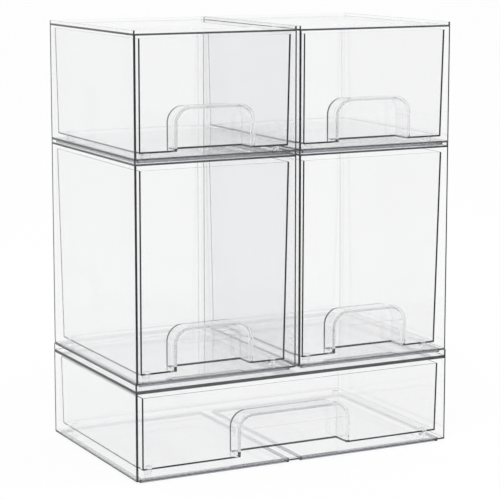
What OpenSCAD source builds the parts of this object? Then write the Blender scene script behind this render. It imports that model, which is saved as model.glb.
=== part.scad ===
// Stackable clear drawer organizer: one wide low unit carries two tall units
// side by side, and each tall unit carries a short one. Every unit is a
// one-piece case, open at the front, with a one-piece drawer inside it.
// Millimetres, +Z up. The fronts face -Y, and the origin lies on the resting
// surface under the middle of the stack.

/* [Cases] */
// Width of the wide case, outside
wide_w = 320; // [270:1:380]
// Depth of every case, outside
case_d = 195; // [160:1:240]
// Height of the wide case, from the underside of its floor to its rim
wide_h = 86.8; // [80:0.1:120]
// Height of a tall case, from the underside of its floor to its rim
tall_h = 197; // [150:0.5:240]
// Height of a short case, from the underside of its floor to its rim
short_h = 111.6; // [90:0.1:140]
// Thickness of the side walls, the back and the rims
case_wall = 1.8; // [1.4:0.1:2.6]
// Thickness of the top panels of the tall and short cases
case_top = 1.6; // [1.2:0.1:2.4]
// Thickness of the wide case's top panel
wide_top = 2.8; // [1.6:0.1:3.6]
// Thickness of the case floors
case_floor = 1.6; // [1.2:0.1:2.4]
// Radius of the upright outer corners of a case
case_corner_r = 1.2; // [0.6:0.1:1.4]

/* [Stacking] */
// Height of the rim of a tall or short case above its top panel
narrow_rim = 2.9; // [2:0.1:4.5]
// Height of the rim of the wide case above its top panel
wide_rim = 5.4; // [4.5:0.1:9]
// Room left between a plinth and the panel that it stands over
plinth_clear = 0.3; // [0.2:0.1:1]
// How far a plinth stands in from the outside of its case
plinth_inset = 4.5; // [4:0.1:8]
// Thickness of the plinth's wall
plinth_wall = 1.8; // [1.4:0.1:3]
// Gap between the two columns of narrow cases
pair_gap = 2.6; // [1:0.1:6]
// How far the narrow cases stand in from the sides of the wide one
stack_inset = 0.7; // [0.2:0.1:1.2]

/* [Drawers] */
// Thickness of the drawer walls
drawer_wall = 1.6; // [1.2:0.1:1.8]
// Thickness of the drawer floors
drawer_floor = 1.6; // [1.2:0.1:2.4]
// Lean of a drawer's side walls, in degrees
side_draft = 0.6; // [0.2:0.1:1]
// Lean of a drawer's front and back walls, in degrees
end_draft = 1.5; // [0.5:0.1:2]
// Radius of a drawer's upright corners and floor edges, outside
drawer_r = 2; // [2:0.1:5]
// Gap behind a closed drawer, at its upper edge
back_gap = 0.8; // [0.5:0.1:6]

/* [Wide drawer] */
// How far the wide drawer's upper front edge stands behind the case's front
wide_set = 3; // [0.5:0.1:8]
// Gap beside the wide drawer, at its upper edge
wide_side_gap = 5.4; // [1:0.1:8]
// Gap over the wide drawer
wide_head_gap = 4.85; // [1:0.05:8]
// Height of the wide drawer's feet
wide_foot_h = 6.3; // [2:0.1:9]

/* [Tall drawers] */
// How far a tall drawer's upper front edge stands behind the case's front
tall_set = 3; // [0.5:0.1:8]
// Gap beside a tall drawer, at its upper edge
tall_side_gap = 3.9; // [1:0.1:6]
// Gap over a tall drawer
tall_head_gap = 4.7; // [1:0.1:8]
// Height of a tall drawer's feet
tall_foot_h = 4.6; // [2:0.1:8]

/* [Short drawers] */
// How far a short drawer's upper front edge stands behind the case's front
short_set = 1.5; // [0.5:0.1:6]
// Gap beside a short drawer, at its upper edge
short_side_gap = 3.4; // [1:0.1:6]
// Gap over a short drawer
short_head_gap = 2.6; // [1:0.1:6]
// Height of a short drawer's feet
short_foot_h = 3.6; // [2:0.1:7]

/* [Finger pulls] */
// Width of the arched pull of the wide drawer at the front, outside its walls
wide_pull_w = 113.8; // [80:0.1:140]
// Width of the arched pull of a tall or short drawer at the front, outside its walls
narrow_pull_w = 76.2; // [56:0.1:90]
// Height of the wide drawer's pull above the drawer's underside
wide_pull_h = 38.8; // [34:0.1:44]
// Height of a tall or short drawer's pull above the drawer's underside
narrow_pull_h = 38.6; // [34:0.1:50]
// Radius of the arch's upper corners, outside
pull_r = 15; // [8:0.5:16]
// Depth of the hollow behind the drawer front, measured at the floor
pull_depth = 19.8; // [14:0.1:26]
// How far each side of a pull comes in from the front to the back of its hollow
pull_taper = 0.8; // [0.2:0.1:2]
// Height of the way in under the lip that the fingers hook behind
way_in_h = 25.5; // [22:0.5:30]
// Thickness of the collar round the hollow, behind the drawer front
collar_wall = 2.8; // [2:0.1:4]
// How far the collar reaches in behind the drawer front
collar_depth = 3.4; // [1:0.1:8]

/* [Feet] */
// Diameter of a drawer's foot
foot_dia = 7; // [5:0.5:9]
// Distance of a foot's centre from the edges of the drawer's floor
foot_inset = 9; // [7:0.5:12]

/* [Hidden] */
clear_case = [0.90, 0.92, 0.95, 0.35];
clear_drawer = [0.94, 0.94, 0.96, 0.35];
// how far a cutting shape runs past the face that it cuts
past = 1;
// thickness of the slices that span a drawer's walls
slice = 0.01;
$fn = 48;

left = -1;
right = 1;
narrow_w = (wide_w - pair_gap) / 2 - stack_inset;
narrow_x = (narrow_w + pair_gap) / 2;
plinth_h = narrow_rim - plinth_clear;

wide_z = plinth_h;
tall_z = wide_z + wide_h;
short_z = tall_z + tall_h;

// ---- cases ----

// Plain rectangle in plan, centred on X and starting at Y = 0
module room_plan(w, d) {
    translate([-w / 2, 0]) square([w, d]);
}

// The same rectangle with round corners
module case_plan(w, d, r) {
    translate([0, r]) room_plan(w, d - 2 * r);
    room_plan(w - 2 * r, d);
    for (x = [r - w / 2, w / 2 - r], y = [r, d - r])
        translate([x, y]) circle(r);
}

// Stacking plinth under a narrow case's footprint: a low wall all round
module plinth() {
    w = narrow_w - 2 * plinth_inset;
    d = case_d - 2 * plinth_inset;
    translate([0, plinth_inset, -plinth_h])
        linear_extrude(plinth_h)
            difference() {
                case_plan(w, d, case_corner_r);
                translate([0, plinth_wall])
                    room_plan(w - 2 * plinth_wall, d - 2 * plinth_wall);
            }
}

// Case shell: floor, sides, back and top panel, with a rim round the top
module case_shell(w, h, panel, rim) {
    room_w = w - 2 * case_wall;
    difference() {
        linear_extrude(h) case_plan(w, case_d, case_corner_r);
        translate([0, -past, case_floor])
            linear_extrude(h - case_floor - panel - rim)
                room_plan(room_w, case_d - case_wall + past);
        translate([0, case_wall, h - rim])
            linear_extrude(rim + past)
                room_plan(room_w, case_d - 2 * case_wall);
    }
}

// Case of a tall or short unit
module narrow_case(h) {
    case_shell(narrow_w, h, case_top, narrow_rim);
    plinth();
}

// ---- drawers ----

// Block with drafted walls, round upright corners and a round floor edge:
// w wide, from y0 to y1 along Y and h high, all measured at its upper edge
module drafted_block(w, y0, y1, h, r) {
    in_x = h * tan(side_draft);
    in_y = h * tan(end_draft);
    hull()
        for (sx = [-1, 1], end = [[y0, 1], [y1, -1]]) {
            translate([sx * (w / 2 - r), end[0] + end[1] * r, h - slice])
                cylinder(r = r, h = slice, $fn = 32);
            translate([sx * (w / 2 - in_x - r), end[0] + end[1] * (in_y + r), r])
                sphere(r = r, $fn = 32);
        }
}

// Face of the arched pull: upright sides and round upper corners
module arch(w, h, r, below) {
    translate([0, -below]) {
        room_plan(w, h - r + below);
        room_plan(w - 2 * r, h + below);
    }
    for (x = [r - w / 2, w / 2 - r])
        translate([x, h - r]) circle(r);
}

// The arch drawn out from y0 back to y1
module arch_prism(w, h, r, y0, y1, below) {
    translate([0, y1, 0])
        rotate([90, 0, 0])
            linear_extrude(y1 - y0)
                arch(w, h, r, below);
}

// The arch drawn out from y0 to y1, w wide at y_front and narrower toward the back
module tapered_arch(w, h, r, y_front, y0, y1, below) {
    lean = pull_taper / pull_depth;
    hull()
        for (y = [y0, y1 - slice])
            arch_prism(w - 2 * lean * (y - y_front), h, r, y, y + slice, below, $fn = 40);
}

// Everything behind the drawer front's inner face up to the plane y1, and from
// the plane y0 on below the lip
module behind_lip(w, y0, y1, h) {
    inside = y0 + drawer_wall;
    translate([-w / 2, 0, 0])
        rotate([90, 0, 90])
            linear_extrude(w)
                polygon([[y0, -past], [y1, -past], [y1, h], [inside, h],
                         [inside + (h - way_in_h) * tan(end_draft), way_in_h], [y0, way_in_h]]);
}

// Drawer tray with its recessed pull; its upper front edge stands at y0
module tray(w, y0, y1, h, pull_w, pull_h) {
    wall = drawer_wall;
    front_y = y0 + h * tan(end_draft);
    pull_y = front_y + pull_depth;
    room_w = pull_w - 2 * wall;
    room_r = pull_r - wall;
    difference() {
        drafted_block(w, y0, y1, h, drawer_r);
        // inside of the tray, left solid where the pull and its collar stand
        difference() {
            translate([0, 0, drawer_floor])
                drafted_block(w - 2 * wall, y0 + wall, y1 - wall, h, drawer_r - wall);
            tapered_arch(pull_w, pull_h, pull_r, front_y, y0, pull_y + wall, past);
            arch_prism(room_w + 2 * collar_wall, pull_h - wall + collar_wall, room_r + collar_wall,
                       y0, front_y + wall + collar_depth, past);
        }
        // hollow for the fingers, open underneath and in front below the lip
        intersection() {
            behind_lip(pull_w, y0, pull_y, h);
            tapered_arch(room_w, pull_h - wall, room_r, front_y, y0, pull_y, past);
        }
    }
}

// Drawer on its feet, as it stands in a case of the given size
module drawer_in(case_w, room_h, set, side_gap, head_gap, foot_h, pull_w, pull_h) {
    w = case_w - 2 * case_wall - 2 * side_gap;
    h = room_h - foot_h - head_gap;
    back = case_d - case_wall - back_gap;
    foot_x = w / 2 - h * tan(side_draft) - foot_inset;
    foot_y = h * tan(end_draft) + foot_inset;
    translate([0, 0, foot_h])
        tray(w, set, back, h, pull_w, pull_h);
    for (x = [-foot_x, foot_x], y = [set + foot_y, back - foot_y])
        translate([x, y, 0])
            cylinder(d = foot_dia, h = foot_h + drawer_floor / 2);
}

// ---- sub-parts ----

// Puts a narrow unit's part in its column, with its case's floor at z
module in_column(side, z) {
    translate([side * narrow_x, -case_d / 2, z]) children();
}

module wide_case() {
    color(clear_case) translate([0, -case_d / 2, wide_z]) {
        case_shell(wide_w, wide_h, wide_top, wide_rim);
        for (side = [left, right])
            translate([side * narrow_x, 0, 0]) plinth();
    }
}

module wide_drawer() {
    room_h = wide_h - case_floor - wide_top - wide_rim;
    color(clear_drawer) translate([0, -case_d / 2, wide_z + case_floor])
        drawer_in(wide_w, room_h, wide_set, wide_side_gap, wide_head_gap, wide_foot_h,
                  wide_pull_w, wide_pull_h);
}

module tall_case(side) {
    color(clear_case) in_column(side, tall_z) narrow_case(tall_h);
}

module tall_drawer(side) {
    room_h = tall_h - case_floor - case_top - narrow_rim;
    color(clear_drawer) in_column(side, tall_z + case_floor)
        drawer_in(narrow_w, room_h, tall_set, tall_side_gap, tall_head_gap, tall_foot_h,
                  narrow_pull_w, narrow_pull_h);
}

module short_case(side) {
    color(clear_case) in_column(side, short_z) narrow_case(short_h);
}

module short_drawer(side) {
    room_h = short_h - case_floor - case_top - narrow_rim;
    color(clear_drawer) in_column(side, short_z + case_floor)
        drawer_in(narrow_w, room_h, short_set, short_side_gap, short_head_gap, short_foot_h,
                  narrow_pull_w, narrow_pull_h);
}

wide_case();
wide_drawer();
tall_case(left);  // tall_case_left
tall_drawer(left);  // tall_drawer_left
tall_case(right);  // tall_case_right
tall_drawer(right);  // tall_drawer_right
short_case(left);  // short_case_left
short_drawer(left);  // short_drawer_left
short_case(right);  // short_case_right
short_drawer(right);  // short_drawer_right
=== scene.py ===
"""Dresses the stacking drawer organizer in clear moulded plastic.

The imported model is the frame. Each case and each drawer is modelled again at
its own size with soft edges, rides on its body and stands for its CAD node.
"""
import logging
import math
from collections.abc import Callable, Iterable
from dataclasses import dataclass, field
from enum import Enum

import bmesh
import bpy
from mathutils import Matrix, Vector


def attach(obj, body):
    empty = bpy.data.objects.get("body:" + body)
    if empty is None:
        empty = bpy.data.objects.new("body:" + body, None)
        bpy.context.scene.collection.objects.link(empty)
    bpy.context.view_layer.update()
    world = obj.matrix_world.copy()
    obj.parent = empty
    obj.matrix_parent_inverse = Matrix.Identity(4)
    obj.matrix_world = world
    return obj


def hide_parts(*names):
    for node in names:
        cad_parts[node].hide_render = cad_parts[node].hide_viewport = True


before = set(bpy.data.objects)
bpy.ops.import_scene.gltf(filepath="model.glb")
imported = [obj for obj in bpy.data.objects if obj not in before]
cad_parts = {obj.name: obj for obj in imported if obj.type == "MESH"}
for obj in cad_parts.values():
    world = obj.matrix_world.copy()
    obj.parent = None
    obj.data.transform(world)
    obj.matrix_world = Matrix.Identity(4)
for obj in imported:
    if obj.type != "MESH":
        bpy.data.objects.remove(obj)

log = logging.getLogger("organizer")

# takes an edge's two ends
EdgeTest = Callable[[Vector, Vector], bool]
# takes a face's centre and normal
FaceTest = Callable[[Vector, Vector], bool]
Point = tuple[float, float, float]
# places closer than this count as one, in metres
NEAR = 2e-5
# how far a cutting shape runs past the face that it cuts, in metres
PAST = 0.001
# the part of its normal along an axis from which a face counts as facing that way
SQUARE = 0.99
# the faces' own attribute that tells a moulding's edges and plinths, where grey shade is painted,
# from its flats
PAINTED_SHADE_ZONE = "painted_shade_zone"


class Column(Enum):
    """Where a unit stands in the stack."""

    LEFT = -1
    MIDDLE = 0
    RIGHT = 1


class Join(Enum):
    """How one solid changes another."""

    CUT = "DIFFERENCE"
    FUSE = "UNION"


# ---------------------------------------------------------------- modelling


class Solid:
    """One closed mesh on the bench, shaped with Blender's own operators."""

    # corners closer than this are merged, in metres, and faces that meet flatter than this
    MERGE_WITHIN = 4e-6
    MERGE_ANGLE = math.radians(0.3)
    # edges sharper than this are softened, in this many steps
    SOFTEN_ANGLE = math.radians(40)
    SOFTEN_STEPS = 3
    # faces that meet flatter than this are shaded as one round
    SMOOTH_ANGLE = math.radians(35)
    # the modifier's highest weight, which leaves large faces flat
    FLAT_WEIGHT = 100

    def __init__(self, shape: bpy.types.Object) -> None:
        """Args:
            shape: the mesh object that the solid holds.
        """
        self.shape = shape

    @staticmethod
    def clear_bench() -> None:
        """Deselects everything, so that an operator acts on one piece alone."""
        if bpy.context.mode != "OBJECT":
            bpy.ops.object.mode_set(mode="OBJECT")
        bpy.ops.object.select_all(action="DESELECT")

    @classmethod
    def block(cls, name: str, low: Point, high: Point) -> "Solid":
        """Adds a block between two corners.

        Args:
            name: the object's name.
            low: the corner with the lowest coordinates, in metres.
            high: the corner with the highest coordinates, in metres.

        Returns:
            The new solid.
        """
        cls.clear_bench()
        low_v, high_v = Vector(low), Vector(high)
        bpy.ops.mesh.primitive_cube_add(size=1, location=(low_v + high_v) / 2)
        shape = bpy.context.object
        shape.name = shape.data.name = name
        shape.scale = high_v - low_v
        bpy.ops.object.transform_apply(location=True, rotation=True, scale=True)
        return cls(shape)

    @classmethod
    def rod(cls, name: str, foot: Point, radius: float, height: float, sides: int) -> "Solid":
        """Adds an upright cylinder.

        Args:
            name: the object's name.
            foot: the centre of its lower end, in metres.
            radius: its radius.
            height: its height.
            sides: the number of flats round it.

        Returns:
            The new solid.
        """
        cls.clear_bench()
        centre = Vector(foot) + Vector((0, 0, height / 2))
        bpy.ops.mesh.primitive_cylinder_add(
            vertices=sides, radius=radius, depth=height, location=centre
        )
        shape = bpy.context.object
        shape.name = shape.data.name = name
        bpy.ops.object.transform_apply(location=True, rotation=True, scale=True)
        return cls(shape)

    def take_up(self) -> None:
        """Makes this solid the only one that operators act on."""
        self.clear_bench()
        self.shape.select_set(True)
        bpy.context.view_layer.objects.active = self.shape

    def reach(self, axis: int) -> tuple[float, float]:
        """Finds how far the solid reaches along an axis.

        Args:
            axis: 0, 1 or 2.

        Returns:
            The lowest and the highest place of its corners on that axis.
        """
        places = [v.co[axis] for v in self.shape.data.vertices]
        return min(places), max(places)

    def open_up(self, by_face: bool) -> bmesh.types.BMesh:
        """Opens edit mode with nothing selected.

        Args:
            by_face: whether faces are selected next, or else edges.

        Returns:
            The mesh that is edited.
        """
        self.take_up()
        bpy.ops.object.mode_set(mode="EDIT")
        bpy.context.tool_settings.mesh_select_mode = (False, not by_face, by_face)
        bpy.ops.mesh.select_all(action="DESELECT")
        return bmesh.from_edit_mesh(self.shape.data)

    def pick_faces(self, test: FaceTest) -> None:
        """Opens edit mode with the faces selected that a test names.

        Args:
            test: takes a face's centre and normal.
        """
        mesh = self.open_up(by_face=True)
        for face in mesh.faces:
            face.select_set(test(face.calc_center_median(), face.normal))
        bmesh.update_edit_mesh(self.shape.data)

    def pick_edges(self, test: EdgeTest) -> None:
        """Opens edit mode with the edges selected that a test names.

        Args:
            test: takes an edge's two ends.
        """
        mesh = self.open_up(by_face=False)
        for edge in mesh.edges:
            edge.select_set(test(edge.verts[0].co, edge.verts[1].co))
        bmesh.update_edit_mesh(self.shape.data)

    def round_edges(self, test: EdgeTest, radius: float, steps: int) -> None:
        """Rounds the edges that a test names.

        Args:
            test: takes an edge's two ends.
            radius: the radius of the round.
            steps: the number of flats across it.
        """
        self.pick_edges(test)
        bpy.ops.mesh.bevel(offset=radius, segments=steps, affect="EDGES", clamp_overlap=False)
        self.clear_bench()

    def score(self, test: FaceTest, axis: int, places: Iterable[float]) -> None:
        """Draws straight lines across the faces that a test names.

        Args:
            test: takes a face's centre and normal.
            axis: 0, 1 or 2, the axis that the lines are counted along.
            places: where the lines lie on that axis.
        """
        for place in places:
            at, along = [0.0, 0.0, 0.0], [0.0, 0.0, 0.0]
            at[axis], along[axis] = place, 1.0
            self.pick_faces(test)
            bpy.ops.mesh.bisect(plane_co=at, plane_no=along)
        self.clear_bench()

    def push(self, test: FaceTest, way: Point) -> None:
        """Extrudes the faces that a test names.

        Args:
            test: takes a face's centre and normal.
            way: how far they go along each axis.
        """
        self.pick_faces(test)
        bpy.ops.mesh.extrude_region_move(TRANSFORM_OT_translate={"value": way})
        self.clear_bench()

    def lean(self, height: float, at_x: float, at_y: float) -> None:
        """Draws in the lower edge, so that the walls lean.

        Args:
            height: the height of the lower edge.
            at_x: how far each side comes in.
            at_y: how far each end comes in.
        """
        (left, right), (front, back) = self.reach(0), self.reach(1)
        self.pick_faces(lambda c, n: abs(c.z - height) < NEAR and n.z < -SQUARE)
        bpy.ops.transform.resize(
            value=(1 - 2 * at_x / (right - left), 1 - 2 * at_y / (back - front), 1),
            center_override=((left + right) / 2, (front + back) / 2, height),
        )
        self.clear_bench()

    def narrow_end(self, back: float, share: float) -> None:
        """Makes the back end narrower than the front.

        Args:
            back: where the back end lies.
            share: how much of its width it keeps.
        """
        left, right = self.reach(0)
        self.pick_faces(lambda c, n: abs(c.y - back) < NEAR and n.y > SQUARE)
        bpy.ops.transform.resize(
            value=(share, 1, 1), center_override=((left + right) / 2, back, 0)
        )
        self.clear_bench()

    def slide_edge(self, test: EdgeTest, way: Point) -> None:
        """Moves the edges that a test names.

        Args:
            test: takes an edge's two ends.
            way: how far they go along each axis.
        """
        self.pick_edges(test)
        bpy.ops.transform.translate(value=way)
        self.clear_bench()

    def join(self, other: "Solid", how: Join) -> None:
        """Cuts another solid away from this one or fuses it on, and uses it up.

        Args:
            other: the other solid.
            how: whether it is cut away or fused on.
        """
        self.take_up()
        tool = self.shape.modifiers.new("join", "BOOLEAN")
        tool.operation, tool.solver, tool.object = how.value, "EXACT", other.shape
        bpy.ops.object.modifier_apply(modifier=tool.name)
        bpy.data.objects.remove(other.shape)

    def clean(self) -> None:
        """Merges doubled corners and flat faces that a join has split.

        The cases go without it: round two plinths it can end in more than one way, and
        which one it comes to changes from run to run.
        """
        self.pick_faces(lambda c, n: True)
        bpy.ops.mesh.remove_doubles(threshold=self.MERGE_WITHIN)
        bpy.ops.mesh.dissolve_limited(angle_limit=self.MERGE_ANGLE)
        self.clear_bench()

    def soften(self, width: float) -> None:
        """Takes the sharpness off every edge and smooths the rounds.

        Args:
            width: the width of the softened edge.
        """
        self.take_up()
        bevel = self.shape.modifiers.new("soft edges", "BEVEL")
        bevel.width, bevel.segments = width, self.SOFTEN_STEPS
        bevel.limit_method, bevel.angle_limit = "ANGLE", self.SOFTEN_ANGLE
        bpy.ops.object.modifier_apply(modifier=bevel.name)
        bpy.ops.object.shade_smooth_by_angle(angle=self.SMOOTH_ANGLE)
        flats = self.shape.modifiers.new("flat faces", "WEIGHTED_NORMAL")
        flats.mode, flats.keep_sharp, flats.weight = "FACE_AREA", True, self.FLAT_WEIGHT
        bpy.ops.object.modifier_apply(modifier=flats.name)
        self.clear_bench()

    def mark(self, test: FaceTest) -> None:
        """Puts the faces that a test names in the edge zone, where the finish paints grey shade.

        Args:
            test: takes a face's centre and normal.
        """
        # the faces set to 1 here are painted with grey shade by the finish
        mesh = self.shape.data
        marks = mesh.attributes.get(PAINTED_SHADE_ZONE) or mesh.attributes.new(PAINTED_SHADE_ZONE, "FLOAT", "FACE")
        for face in mesh.polygons:
            if test(face.center, face.normal):
                marks.data[face.index].value = 1.0

    def copy_across(self, name: str) -> "Solid":
        """Copies the solid to the other side of the stack.

        Args:
            name: the copy's name.

        Returns:
            The copy, with its own mesh, as far right of the middle as this one is left of it.
        """
        left, right = self.reach(0)
        self.take_up()
        bpy.ops.object.duplicate()
        twin = bpy.context.object
        twin.name = twin.data.name = name
        twin.location.x = -(left + right)
        bpy.ops.object.transform_apply(location=True, rotation=False, scale=False)
        return Solid(twin)


# ---------------------------------------------------------------- the units


@dataclass(frozen=True)
class Moulding:
    """Sizes that every unit of the stack shares, in metres.

    The steps are the numbers of flats across a round. air is the film between two
    mouldings that rest on each other, which keeps their faces apart for the light.
    """

    depth: float = 0.195
    wide: float = 0.320
    pair_gap: float = 0.0026
    stack_inset: float = 0.0007
    case_wall: float = 0.0018
    case_floor: float = 0.0016
    corner: float = 0.0012
    corner_steps: int = 5
    plinth_drop: float = 0.0026
    plinth_inset: float = 0.0045
    plinth_wall: float = 0.0018
    drawer_wall: float = 0.0016
    drawer_floor: float = 0.0016
    side_draft: float = math.radians(0.6)
    end_draft: float = math.radians(1.5)
    drawer_round: float = 0.001
    drawer_steps: int = 6
    back_gap: float = 0.0008
    foot_radius: float = 0.0035
    foot_sides: int = 32
    foot_inset: float = 0.009
    pull_round: float = 0.015
    pull_steps: int = 20
    pull_depth: float = 0.0198
    pull_taper: float = 0.0008
    way_in: float = 0.0255
    collar_wall: float = 0.0028
    collar_depth: float = 0.0034
    soft_edge: float = 0.00015
    air: float = 0.00002

    @property
    def narrow(self) -> float:
        """Width of a tall or short case."""
        return (self.wide - self.pair_gap) / 2 - self.stack_inset

    @property
    def column_x(self) -> float:
        """How far the middle of a narrow case stands from the middle of the stack."""
        return (self.narrow + self.pair_gap) / 2


@dataclass(frozen=True)
class UnitSizes:
    """Sizes of one kind of unit, in metres.

    The top panel lies as deep as rim below the case's upper edge. set_back, side_gap and
    head_gap are the drawer's room behind the case's front, beside it and above it.
    """

    width: float
    height: float
    rim: float
    panel: float
    set_back: float
    side_gap: float
    head_gap: float
    foot: float
    pull_width: float
    pull_height: float


@dataclass
class Case:
    """A one-piece case, open at the front, with a rim on top and plinths below."""

    sizes: UnitSizes
    floor_z: float
    column: Column
    mould: Moulding = field(default_factory=Moulding)

    # the part of its normal towards the front, for a face on the front's rounds
    FRONT_TURN = (0.5, 0.995)

    def __post_init__(self) -> None:
        """Works out where the case's faces lie; floor_z is the underside of its floor."""
        m, u = self.mould, self.sizes
        self.middle = self.column.value * m.column_x
        self.half_w, self.half_d = u.width / 2, m.depth / 2
        self.inner_w, self.inner_d = self.half_w - m.case_wall, self.half_d - m.case_wall
        self.top = self.floor_z + u.height - m.air
        self.low, self.high = self.floor_z + m.case_floor, self.top - u.rim - u.panel

    def build(self, name: str) -> Solid:
        """Models the case.

        Args:
            name: the piece's name.

        Returns:
            The finished solid.
        """
        m = self.mould
        case = Solid.block(
            name,
            (self.middle - self.half_w, -self.half_d, self.floor_z),
            (self.middle + self.half_w, self.half_d, self.top),
        )
        case.round_edges(lambda a, b: abs(a.z - b.z) > m.corner, m.corner, m.corner_steps)
        self.hollow_out(case)
        self.sink_top(case)
        wide = self.column is Column.MIDDLE
        for ring in (Column.LEFT, Column.RIGHT) if wide else (self.column,):
            self.add_plinth(case, ring.value * m.column_x)
        case.soften(m.soft_edge)
        # the plinths and the front's edge rounds get painted grey shade
        self.paint_edge_shade(case)
        return case

    def between_walls(self, centre: Vector) -> bool:
        """Tells whether a face's centre lies between the case's side walls.

        Args:
            centre: the face's centre.

        Returns:
            True where it does.
        """
        return abs(centre.x - self.middle) < self.inner_w

    def hollow_out(self, case: Solid) -> None:
        """Presses the drawer's room into the front.

        Args:
            case: the solid.
        """

        def on_front(centre: Vector, normal: Vector) -> bool:
            return normal.y < -SQUARE

        def in_mouth(centre: Vector, normal: Vector) -> bool:
            inside = self.between_walls(centre) and self.low < centre.z < self.high
            return inside and on_front(centre, normal)

        case.score(on_front, 0, (self.middle - self.inner_w, self.middle + self.inner_w))
        case.score(on_front, 2, (self.low, self.high))
        case.push(in_mouth, (0, 2 * self.half_d - self.mould.case_wall, 0))

    def sink_top(self, case: Solid) -> None:
        """Sinks the top panel below its rim.

        Args:
            case: the solid.
        """

        def on_top(centre: Vector, normal: Vector) -> bool:
            return normal.z > SQUARE and abs(centre.z - self.top) < NEAR

        def on_panel(centre: Vector, normal: Vector) -> bool:
            inside = self.between_walls(centre) and abs(centre.y) < self.inner_d
            return inside and on_top(centre, normal)

        case.score(on_top, 0, (self.middle - self.inner_w, self.middle + self.inner_w))
        case.score(on_top, 1, (-self.inner_d, self.inner_d))
        case.push(on_panel, (0, 0, -self.sizes.rim))

    def add_plinth(self, case: Solid, middle: float) -> None:
        """Draws a ring of plinth out of the underside.

        Args:
            case: the solid.
            middle: the ring's middle along X.
        """
        m = self.mould
        out_x, out_y = m.narrow / 2 - m.plinth_inset, m.depth / 2 - m.plinth_inset
        in_x, in_y = out_x - m.plinth_wall, out_y - m.plinth_wall

        def under(centre: Vector, normal: Vector) -> bool:
            return normal.z < -SQUARE and abs(centre.z - self.floor_z) < NEAR

        def on_ring(centre: Vector, normal: Vector) -> bool:
            off_x, off_y = abs(centre.x - middle), abs(centre.y)
            inside = off_x < in_x and off_y < in_y
            return under(centre, normal) and off_x < out_x and off_y < out_y and not inside

        case.score(under, 0, (middle - out_x, middle - in_x, middle + in_x, middle + out_x))
        case.score(under, 1, (-out_y, -in_y, in_y, out_y))
        case.push(on_ring, (0, 0, -m.plinth_drop))

    def paint_edge_shade(self, case: Solid) -> None:
        """Marks the plinths, and the front's rounds and soft edges at its sides and floor, for
        painted grey shade: the dark lines that light running along the walls gives, and the shadow
        under the plinths.

        The front's flat faces stay out of it, by their normal.

        Args:
            case: the finished solid.
        """
        least, most = self.FRONT_TURN
        front = self.mould.soft_edge - self.half_d

        def on_front_edge(centre: Vector, normal: Vector) -> bool:
            on_front = least < -normal.y < most and centre.y < front
            at_side = abs(centre.x - self.middle) > self.inner_w
            return on_front and (at_side or centre.z < self.low)

        case.mark(lambda c, n: on_front_edge(c, n) or c.z < self.floor_z - NEAR)


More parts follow.
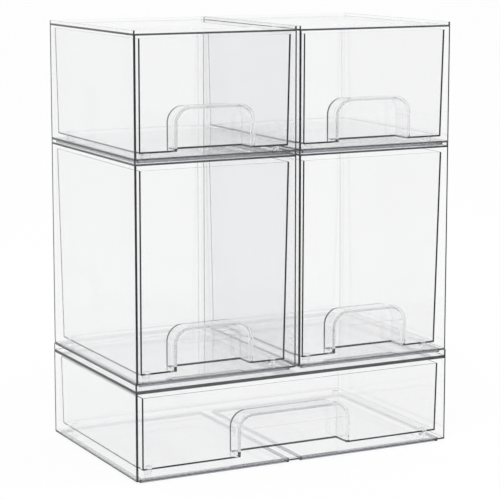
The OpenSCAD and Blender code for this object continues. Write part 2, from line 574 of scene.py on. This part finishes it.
@dataclass
class Drawer:
    """A one-piece drawer with an arched pull sunk into its front."""

    sizes: UnitSizes
    floor_z: float
    column: Column
    mould: Moulding = field(default_factory=Moulding)

    # the least and the most part of its normal along an axis, for a face on a round
    ROUND_TURN = (0.15, 0.98)

    def __post_init__(self) -> None:
        """Works out where the tray's faces lie; floor_z is the underside of the case's floor."""
        m, u = self.mould, self.sizes
        self.middle = self.column.value * m.column_x
        self.half = u.width / 2 - m.case_wall - u.side_gap
        self.stand = self.floor_z + m.case_floor
        self.low = self.stand + u.foot
        self.high = self.floor_z + u.height - u.rim - u.panel - u.head_gap
        self.front = u.set_back - m.depth / 2
        self.back = m.depth / 2 - m.case_wall - m.back_gap
        self.side_run = (self.high - self.low) * math.tan(m.side_draft)
        self.end_run = (self.high - self.low) * math.tan(m.end_draft)
        self.pull_front = self.front + self.end_run
        self.pull_back = self.pull_front + m.pull_depth

    def build(self, name: str) -> Solid:
        """Models the drawer.

        Args:
            name: the piece's name.

        Returns:
            The finished solid.
        """
        m = self.mould
        tray = self.drafted(name, 0, 0, m.drawer_round)
        core = self.drafted(
            name + "_core", m.drawer_wall, m.drawer_floor, m.drawer_round - m.drawer_wall
        )
        pull = self.arch(name + "_pull", 0, self.pull_back + m.drawer_wall, m.pull_taper)
        core.join(pull, Join.CUT)
        collar_back = self.pull_front + m.drawer_wall + m.collar_depth
        collar = self.arch(name + "_collar", m.drawer_wall - m.collar_wall, collar_back, 0)
        core.join(collar, Join.CUT)
        tray.join(core, Join.CUT)
        hollow = self.arch(name + "_hollow", m.drawer_wall, self.pull_back, m.pull_taper)
        hollow.join(self.lip(name + "_lip"), Join.CUT)
        tray.join(hollow, Join.CUT)
        for foot in self.feet(name + "_foot"):
            tray.join(foot, Join.FUSE)
        tray.clean()
        tray.soften(m.soft_edge)
        # the rounds along the underside and up the corners get painted grey shade, for the dark
        # lines of light running along the walls
        tray.mark(lambda c, n: self.on_floor_round(c, n) or self.on_corner_round(c, n))
        return tray

    def on_floor_round(self, centre: Vector, normal: Vector) -> bool:
        """Tells whether a face lies on the round along the tray's underside.

        Args:
            centre: the face's centre.
            normal: the face's normal.

        Returns:
            True where it does.
        """
        least, most = self.ROUND_TURN
        at_floor = self.low < centre.z < self.low + self.mould.drawer_round
        return at_floor and least < -normal.z < most

    def on_corner_round(self, centre: Vector, normal: Vector) -> bool:
        """Tells whether a face lies on a round of the tray's upright corners.

        Args:
            centre: the face's centre.
            normal: the face's normal.

        Returns:
            True where it does.
        """
        radius = self.mould.drawer_round
        at_side = abs(centre.x - self.middle) > self.half - radius - self.side_run
        at_end = min(centre.y - self.front, self.back - centre.y) < radius + self.end_run
        turned = min(abs(normal.x), abs(normal.y)) > self.ROUND_TURN[0]
        return at_side and at_end and turned and centre.z > self.low

    def drafted(self, name: str, inset: float, floor: float, radius: float) -> Solid:
        """Makes a block with leaning walls and rounds on its corners and floor edges.

        Args:
            name: the solid's name.
            inset: how far it stands inside the tray's outer faces.
            floor: how far it stands above the tray's underside.
            radius: the radius of its rounds.

        Returns:
            The block. One that stands inside runs past the tray's upper edge, and where
            its rounds would be tiny, softening makes them.
        """
        low = self.low + floor
        share = (self.high - low) / (self.high - self.low)
        block = Solid.block(
            name,
            (self.middle - self.half + inset, self.front + inset, low),
            (self.middle + self.half - inset, self.back - inset, self.high),
        )
        block.lean(low, self.side_run * share, self.end_run * share)
        if inset:
            block.push(lambda c, n: n.z > SQUARE, (0, 0, PAST))

        def on_corner_or_floor(first: Vector, second: Vector) -> bool:
            at_floor = max(abs(first.z - low), abs(second.z - low)) < NEAR
            return at_floor or abs(first.z - second.z) > radius

        if radius > 2 * self.mould.soft_edge:
            block.round_edges(on_corner_or_floor, radius, self.mould.drawer_steps)
        return block

    def arch(self, name: str, inset: float, back: float, taper: float) -> Solid:
        """Makes the arched prism of the pull, its collar or its hollow.

        Args:
            name: the solid's name.
            inset: how far it stands inside the pull's outer faces.
            back: where it ends behind.
            taper: how far each side comes in over the hollow's depth.

        Returns:
            The prism, which starts in front of the drawer and runs past its underside.
        """
        m = self.mould
        half = self.sizes.pull_width / 2 - inset
        top = self.low + self.sizes.pull_height - inset
        start, lean = self.front - PAST, taper / m.pull_depth
        wide = half + lean * (self.pull_front - start)
        narrow = half - lean * (back - self.pull_front)
        prism = Solid.block(
            name, (self.middle - wide, start, self.low - PAST), (self.middle + wide, back, top)
        )
        prism.narrow_end(back, narrow / wide)

        def on_shoulder(first: Vector, second: Vector) -> bool:
            runs_back = abs(first.y - second.y) > (back - start) / 2
            return runs_back and min(first.z, second.z) > top - NEAR

        prism.round_edges(on_shoulder, m.pull_round - inset, m.pull_steps)
        return prism

    def lip(self, name: str) -> Solid:
        """Makes the block that keeps the front closed above the way in.

        Args:
            name: the solid's name.

        Returns:
            The block. Its back leans as the front's inner face does.
        """
        m = self.mould
        half, run = self.sizes.pull_width / 2 + PAST, math.tan(m.end_draft)
        low, high = self.low + m.way_in, self.low + self.sizes.pull_height + PAST
        inside = self.front + m.drawer_wall + (self.high - low) * run
        lip = Solid.block(
            name,
            (self.middle - half, self.front - 2 * PAST, low),
            (self.middle + half, inside, high),
        )

        def on_upper_back(first: Vector, second: Vector) -> bool:
            at_back = min(first.y, second.y) > inside - NEAR
            return at_back and min(first.z, second.z) > high - NEAR

        lip.slide_edge(on_upper_back, (0, (low - high) * run, 0))
        return lip

    def feet(self, name: str) -> list[Solid]:
        """Makes the four round feet.

        Args:
            name: the start of their names.

        Returns:
            The feet, which reach halfway into the tray's floor.
        """
        m = self.mould
        reach_x = self.half - self.side_run - m.foot_inset
        ends = (self.front + self.end_run + m.foot_inset, self.back - self.end_run - m.foot_inset)
        height = self.sizes.foot + m.drawer_floor / 2
        spots = [(self.middle + side * reach_x, y) for side in (-1, 1) for y in ends]
        return [
            Solid.rod(
                f"{name}_{i}", (x, y, self.stand + m.air), m.foot_radius, height, m.foot_sides
            )
            for i, (x, y) in enumerate(spots)
        ]


# ---------------------------------------------------------------- finishes


class Wire:
    """A value in a material's nodes that can be reckoned with."""

    def __init__(self, book: "NodeBook", socket: bpy.types.NodeSocket | None) -> None:
        """Args:
            book: the nodes that the value belongs to.
            socket: the output that carries it, where its node has one.
        """
        self.book, self.socket = book, socket

    def reckon(self, operation: str, first: object, second: object) -> "Wire":
        """Adds a Math node.

        Args:
            operation: the node's operation.
            first: its first value.
            second: its second value.

        Returns:
            The result.
        """
        return self.book.node("ShaderNodeMath", {"operation": operation}, {0: first, 1: second})

    def __add__(self, other: object) -> "Wire":
        """Adds."""
        return self.reckon("ADD", self, other)

    def __radd__(self, other: object) -> "Wire":
        """Adds, from the right."""
        return self.reckon("ADD", other, self)

    def __sub__(self, other: object) -> "Wire":
        """Subtracts."""
        return self.reckon("SUBTRACT", self, other)

    def __rsub__(self, other: object) -> "Wire":
        """Subtracts this from another value."""
        return self.reckon("SUBTRACT", other, self)

    def __mul__(self, other: object) -> "Wire":
        """Multiplies."""
        return self.reckon("MULTIPLY", self, other)

    def __rmul__(self, other: object) -> "Wire":
        """Multiplies, from the right."""
        return self.reckon("MULTIPLY", other, self)

    def at_most(self, other: object) -> "Wire":
        """Keeps the lower of two values."""
        return self.reckon("MINIMUM", self, other)

    def at_least(self, other: object) -> "Wire":
        """Keeps the higher of two values."""
        return self.reckon("MAXIMUM", self, other)


class NodeBook:
    """The nodes of one material or of the world."""

    def __init__(self, owner: bpy.types.Material | bpy.types.World) -> None:
        """Args:
            owner: the material or world, whose nodes are emptied.
        """
        owner.use_nodes = True
        self.tree = owner.node_tree
        self.tree.nodes.clear()

    def node(
        self,
        kind: str,
        settings: dict[str, object],
        sockets: dict[str | int, object],
        out: str | int = 0,
    ) -> Wire:
        """Adds any node.

        Args:
            kind: the node's type.
            settings: its own settings, which are set first.
            sockets: values or wires for its inputs.
            out: the output that is handed back.

        Returns:
            The wire from that output.
        """
        made = self.tree.nodes.new(kind)
        for name, value in settings.items():
            setattr(made, name, value)
        for name, value in sockets.items():
            if isinstance(value, Wire):
                self.tree.links.new(value.socket, made.inputs[name])
            else:
                made.inputs[name].default_value = value
        return Wire(self, made.outputs[out] if made.outputs else None)

    def blend(self, share: Wire, first: object, second: object) -> Wire:
        """Mixes two colours.

        Args:
            share: how much of the second colour there is.
            first: the first colour, four values or a wire.
            second: the second colour.

        Returns:
            The mixed colour.
        """
        # a mix node's colours are its sockets 6 and 7, and come out at its output 2
        sockets = {0: share, 6: first, 7: second}
        return self.node("ShaderNodeMix", {"data_type": "RGBA"}, sockets, 2)


@dataclass(frozen=True)
class ClearPlastic:
    """Clear moulded polystyrene: polished, faintly wavy, with grey shade painted where light runs
    along a wall.

    tint is the tone of its flats, and broad noise takes it up to pure_share of the way to
    pure. painted_edge_shade is painted grey shade on the edge zone, for the dark lines that
    light running along a wall gives and the shadow under the plinths; it is laid on by
    painted_shade_share and, with the same noise, up to painted_shade_flow more. Where fine
    noise is above rub_from, the polish is duller.
    """

    name: str
    tint: Point
    absorbs: Point
    density: float = 12.5
    pure: Point = (1, 1, 1)
    pure_share: float = 0.5
    # the grey of the painted shade on the edge zone, its share and its swing with the broad noise
    painted_edge_shade: Point = (0.26, 0.27, 0.3)
    painted_shade_share: float = 0.75
    painted_shade_flow: float = 0.4
    flow_scale: float = 14.0
    flow_detail: float = 1.0
    rub_scale: float = 90.0
    rub_detail: float = 3.0
    rub_from: float = 0.55
    polish: float = 0.012
    haze: float = 0.03
    wave_strength: float = 0.04
    wave_height: float = 0.0004
    ior: float = 1.5

    def mix(self) -> bpy.types.Material:
        """Makes the material.

        Returns:
            The material.
        """
        material = bpy.data.materials.new(self.name)
        book = NodeBook(material)
        place = book.node("ShaderNodeTexCoord", {}, {}, "Object")
        flow, rub = (
            book.node(
                "ShaderNodeTexNoise", {}, {"Vector": place, "Scale": scale, "Detail": detail}, "Fac"
            )
            for scale, detail in (
                (self.flow_scale, self.flow_detail), (self.rub_scale, self.rub_detail)
            )
        )
        marks = (rub - self.rub_from).at_least(0) * self.haze
        flat = book.blend(flow * self.pure_share, (*self.tint, 1), (*self.pure, 1))
        # the edge zone is laid over with painted grey shade, deeper where the broad noise is higher
        zone = book.node("ShaderNodeAttribute", {"attribute_name": PAINTED_SHADE_ZONE}, {}, "Fac")
        depth = (zone * (self.painted_shade_share + flow * self.painted_shade_flow)).at_most(1)
        shade = book.blend(depth, flat, (*self.painted_edge_shade, 1))
        wave = book.node(
            "ShaderNodeBump",
            {},
            {"Strength": self.wave_strength, "Distance": self.wave_height, "Height": flow},
            "Normal",
        )
        skin = book.node(
            "ShaderNodeBsdfPrincipled",
            {},
            {
                "Base Color": shade,
                "Roughness": marks + self.polish,
                "IOR": self.ior,
                "Transmission Weight": 1.0,
                "Normal": wave,
            },
        )
        body = book.node(
            "ShaderNodeVolumeAbsorption", {}, {"Color": (*self.absorbs, 1), "Density": self.density}
        )
        book.node("ShaderNodeOutputMaterial", {}, {"Surface": skin, "Volume": body})
        return material


# ---------------------------------------------------------------- the stack


class Stack:
    """The whole organizer: five units, each a case and a drawer."""

    def __init__(self) -> None:
        """Sets the units' sizes and finishes."""
        self.mould = Moulding()
        self.case_plastic = ClearPlastic(
            "clear_case", tint=(0.996, 0.998, 1.0), absorbs=(0.0, 0.01, 0.04)
        ).mix()
        self.drawer_plastic = ClearPlastic(
            "clear_drawer", tint=(0.998, 0.998, 1.0), absorbs=(0.0, 0.0, 0.03)
        ).mix()

    def build(self) -> None:
        """Builds every unit, the wide one first."""
        m = self.mould
        wide = UnitSizes(
            width=m.wide, height=0.0868, rim=0.0054, panel=0.0028,
            set_back=0.003, side_gap=0.0054, head_gap=0.00485, foot=0.0063,
            pull_width=0.1138, pull_height=0.0388,
        )
        tall = UnitSizes(
            width=m.narrow, height=0.197, rim=0.0029, panel=0.0016,
            set_back=0.003, side_gap=0.0039, head_gap=0.0047, foot=0.0046,
            pull_width=0.0762, pull_height=0.0386,
        )
        short = UnitSizes(
            width=m.narrow, height=0.1116, rim=0.0029, panel=0.0016,
            set_back=0.0015, side_gap=0.0034, head_gap=0.0026, foot=0.0036,
            pull_width=0.0762, pull_height=0.0386,
        )
        tall_z = m.plinth_drop + wide.height
        self.unit("wide", wide, Column.MIDDLE, m.plinth_drop)
        self.unit("tall", tall, Column.LEFT, tall_z)
        self.unit("short", short, Column.LEFT, tall_z + tall.height)

    def unit(self, kind: str, sizes: UnitSizes, column: Column, floor_z: float) -> None:
        """Builds one case and its drawer, and a left unit's twin on the right.

        Args:
            kind: wide, tall or short.
            sizes: the unit's sizes.
            column: where the unit stands.
            floor_z: the underside of its case's floor.
        """
        side = "" if column is Column.MIDDLE else "_left"
        case = Case(sizes, floor_z, column, self.mould).build(f"{kind}_case{side}_shell")
        drawer = Drawer(sizes, floor_z, column, self.mould).build(f"{kind}_drawer{side}_tray")
        solids = {f"{kind}_case{side}": case, f"{kind}_drawer{side}": drawer}
        # the twins are copied bare, or they would also stand for the left nodes
        if column is Column.LEFT:
            solids[f"{kind}_case_right"] = case.copy_across(f"{kind}_case_right_shell")
            solids[f"{kind}_drawer_right"] = drawer.copy_across(f"{kind}_drawer_right_tray")
        for node, solid in solids.items():
            self.dress(solid, node)

    def dress(self, solid: Solid, node: str) -> None:
        """Gives a solid its finish and its body.

        Args:
            solid: the finished solid.
            node: the CAD node that it stands for.
        """
        piece, is_drawer = solid.shape, "drawer" in node
        piece.data.materials.clear()
        piece.data.materials.append(self.drawer_plastic if is_drawer else self.case_plastic)
        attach(piece, node)
        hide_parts(node)
        log.info("%s: %d faces", piece.name, len(piece.data.polygons))


# ---------------------------------------------------------------- the studio


@dataclass
class Studio:
    """White surroundings, soft lamps and the camera.

    The camera's place and turns were fitted to the photograph, in metres and radians.
    dim is the surroundings' strength for the light that they cast, against 1 where they
    are seen, and the floor glows by glow_share and glow where it is seen.
    """

    place: Point = (-0.82005, -1.60526, 0.48983)
    turn: float = 0.47307
    tilt: float = 0.15346
    lens: float = 139.32
    shift: float = -0.06
    far: float = 100
    bounces: int = 32
    dim: float = 0.75
    floor_size: float = 30
    floor_cuts: int = 4
    floor_z: float = -0.0002
    floor_tone: float = 0.9
    glow: float = 1.02
    glow_share: float = 0.9
    lamp_aim: Point = (0, 0, 0.2)

    def build(self) -> None:
        """Sets up floor, world, lamps and camera."""
        self.lay_floor()
        self.light_world()
        self.hang_lamp("key", place=(-1.1, -1.3, 1.9), size=1.4, power=16.0)
        self.hang_lamp("fill", place=(1.5, -0.9, 1.4), size=1.4, power=8.0)
        self.set_camera()
        bpy.context.scene.view_settings.view_transform = "Standard"
        light_paths = bpy.context.scene.cycles
        light_paths.max_bounces = light_paths.transmission_bounces = self.bounces
        light_paths.glossy_bounces = self.bounces
        light_paths.transparent_max_bounces = self.bounces

    def lay_floor(self) -> None:
        """Lays a wide white floor that keeps the object's shadow."""
        Solid.clear_bench()
        bpy.ops.mesh.primitive_grid_add(
            x_subdivisions=self.floor_cuts, y_subdivisions=self.floor_cuts, size=self.floor_size
        )
        floor = bpy.context.object
        floor.name = "studio_floor"
        floor.location.z = self.floor_z
        material = bpy.data.materials.new("studio_white")
        book = NodeBook(material)
        tone = (self.floor_tone, self.floor_tone, self.floor_tone, 1)
        matt = book.node("ShaderNodeBsdfDiffuse", {}, {"Color": tone})
        lit = {"Color": (1, 1, 1, 1), "Strength": self.glow}
        glow = book.node("ShaderNodeEmission", {}, lit)
        share = self.direct_ray(book) * self.glow_share
        both = book.node("ShaderNodeMixShader", {}, {0: share, 1: matt, 2: glow})
        book.node("ShaderNodeOutputMaterial", {}, {"Surface": both})
        floor.data.materials.append(material)

    @staticmethod
    def direct_ray(book: NodeBook) -> Wire:
        """Finds the rays that show the surroundings themselves.

        Args:
            book: the nodes to add to.

        Returns:
            A wire that is 1 for camera, glossy and transmission rays.
        """
        camera, gloss, through = (
            book.node("ShaderNodeLightPath", {}, {}, f"Is {kind} Ray")
            for kind in ("Camera", "Glossy", "Transmission")
        )
        return (camera + gloss + through).at_most(1)

    def light_world(self) -> None:
        """Makes the world white where it is seen and softly bright elsewhere."""
        world = bpy.data.worlds.new("studio")
        bpy.context.scene.world = world
        book = NodeBook(world)
        strength = self.dim + self.direct_ray(book) * (1 - self.dim)
        lit = {"Color": (1, 1, 1, 1), "Strength": strength}
        light = book.node("ShaderNodeBackground", {}, lit)
        book.node("ShaderNodeOutputWorld", {}, {"Surface": light})

    def hang_lamp(self, name: str, place: Point, size: float, power: float) -> None:
        """Hangs a square lamp that faces the stack.

        Args:
            name: the lamp's name.
            place: where it hangs.
            size: its side.
            power: its power in watts.
        """
        lamp = bpy.data.objects.new(name, bpy.data.lights.new(name, "AREA"))
        lamp.data.size, lamp.data.energy = size, power
        lamp.location = place
        ahead = Vector(self.lamp_aim) - Vector(place)
        lamp.rotation_euler = ahead.to_track_quat("-Z", "Y").to_euler()
        bpy.context.scene.collection.objects.link(lamp)

    def set_camera(self) -> None:
        """Stands the camera where the photograph was taken from."""
        camera = bpy.data.objects.new("camera", bpy.data.cameras.new("camera"))
        camera.data.lens, camera.data.shift_y = self.lens, self.shift
        camera.data.clip_end = self.far
        camera.location = self.place
        ahead = Vector((
            math.sin(self.turn) * math.cos(self.tilt),
            math.cos(self.turn) * math.cos(self.tilt),
            -math.sin(self.tilt),
        ))
        camera.rotation_euler = ahead.to_track_quat("-Z", "Y").to_euler()
        bpy.context.scene.collection.objects.link(camera)
        bpy.context.scene.camera = camera


def main() -> None:
    """Builds the stack and its studio."""
    logging.basicConfig(level=logging.INFO, format="%(message)s")
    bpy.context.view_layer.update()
    Stack().build()
    Studio().build()


if __name__ == "__main__":
    main()
